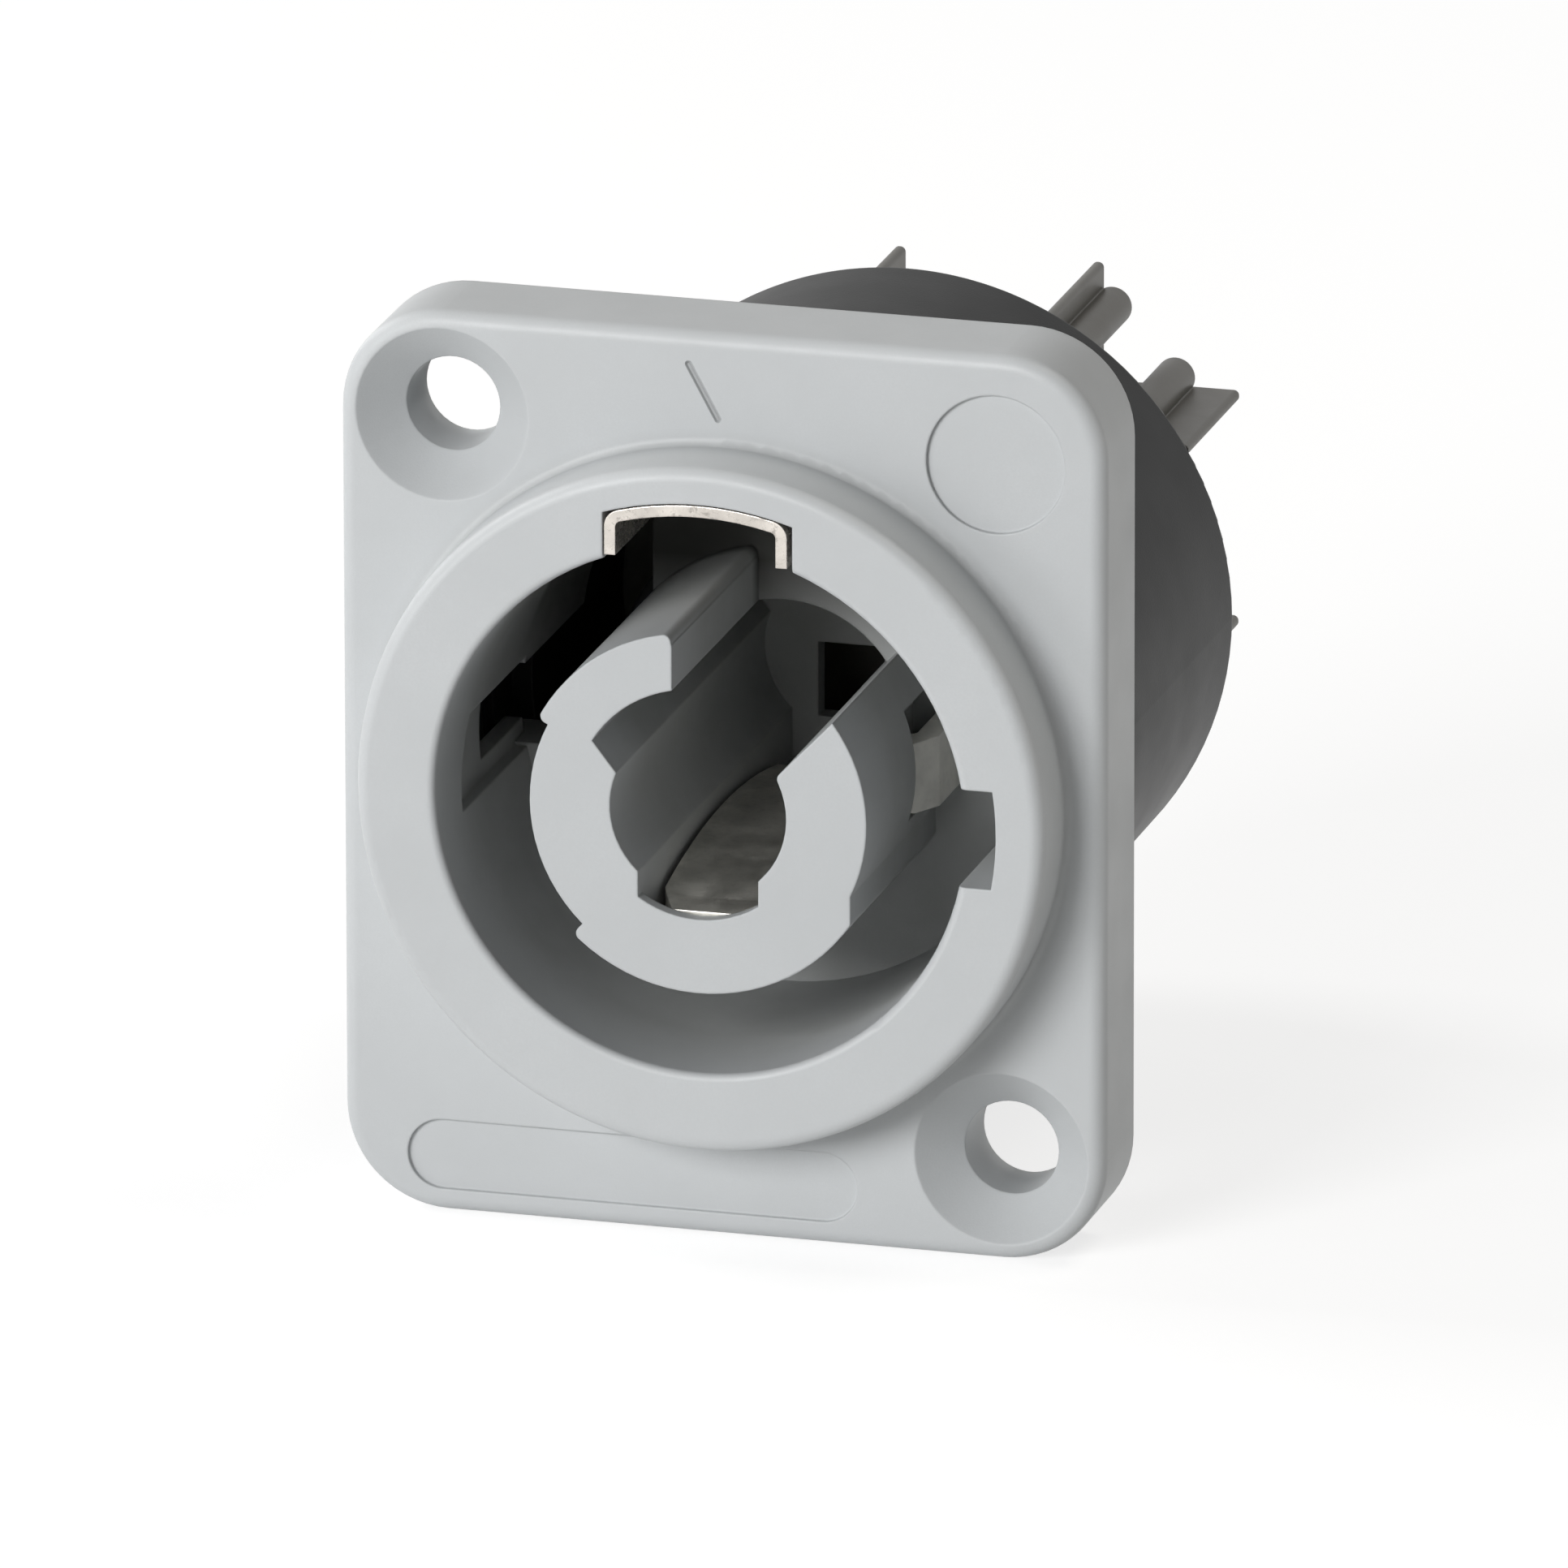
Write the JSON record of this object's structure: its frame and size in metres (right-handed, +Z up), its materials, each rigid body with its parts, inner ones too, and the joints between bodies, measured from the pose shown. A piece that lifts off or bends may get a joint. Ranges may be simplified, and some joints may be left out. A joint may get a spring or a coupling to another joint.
{
  "type": "panel mount power connector",
  "caption": "Round twist-locking power receptacle with a rectangular screw flange, stepped centre core, metal latch clip and rear blade terminals.",
  "frame": {"origin": "on the socket's axis, in the plane of the flange's rear face, which seats on the front of the panel", "axes": "+Y along the socket's axis towards the rear terminals, +Z up with the latch notch at the top, +X to the right as seen from the front"},
  "size_m": [0.026, 0.0332, 0.031],
  "materials": {
    "housing_plastic": "fine satin moulding, pale cool grey",
    "carrier_plastic": "fine satin moulding, pale cool grey",
    "body_plastic": "satin black moulding",
    "block_plastic": "satin dark grey moulding",
    "clip_steel": "bright plated spring steel",
    "contact_metal": "nickel plated brass"
  },
  "bodies": {
    "root": {"front_housing": "housing_plastic", "contact_carrier": "carrier_plastic", "latch_clip": "clip_steel", "rear_body": "body_plastic", "terminal_block": "block_plastic", "line_contact": "contact_metal", "neutral_contact": "contact_metal", "earth_contact": "contact_metal"}
  },
  "joints": []
}
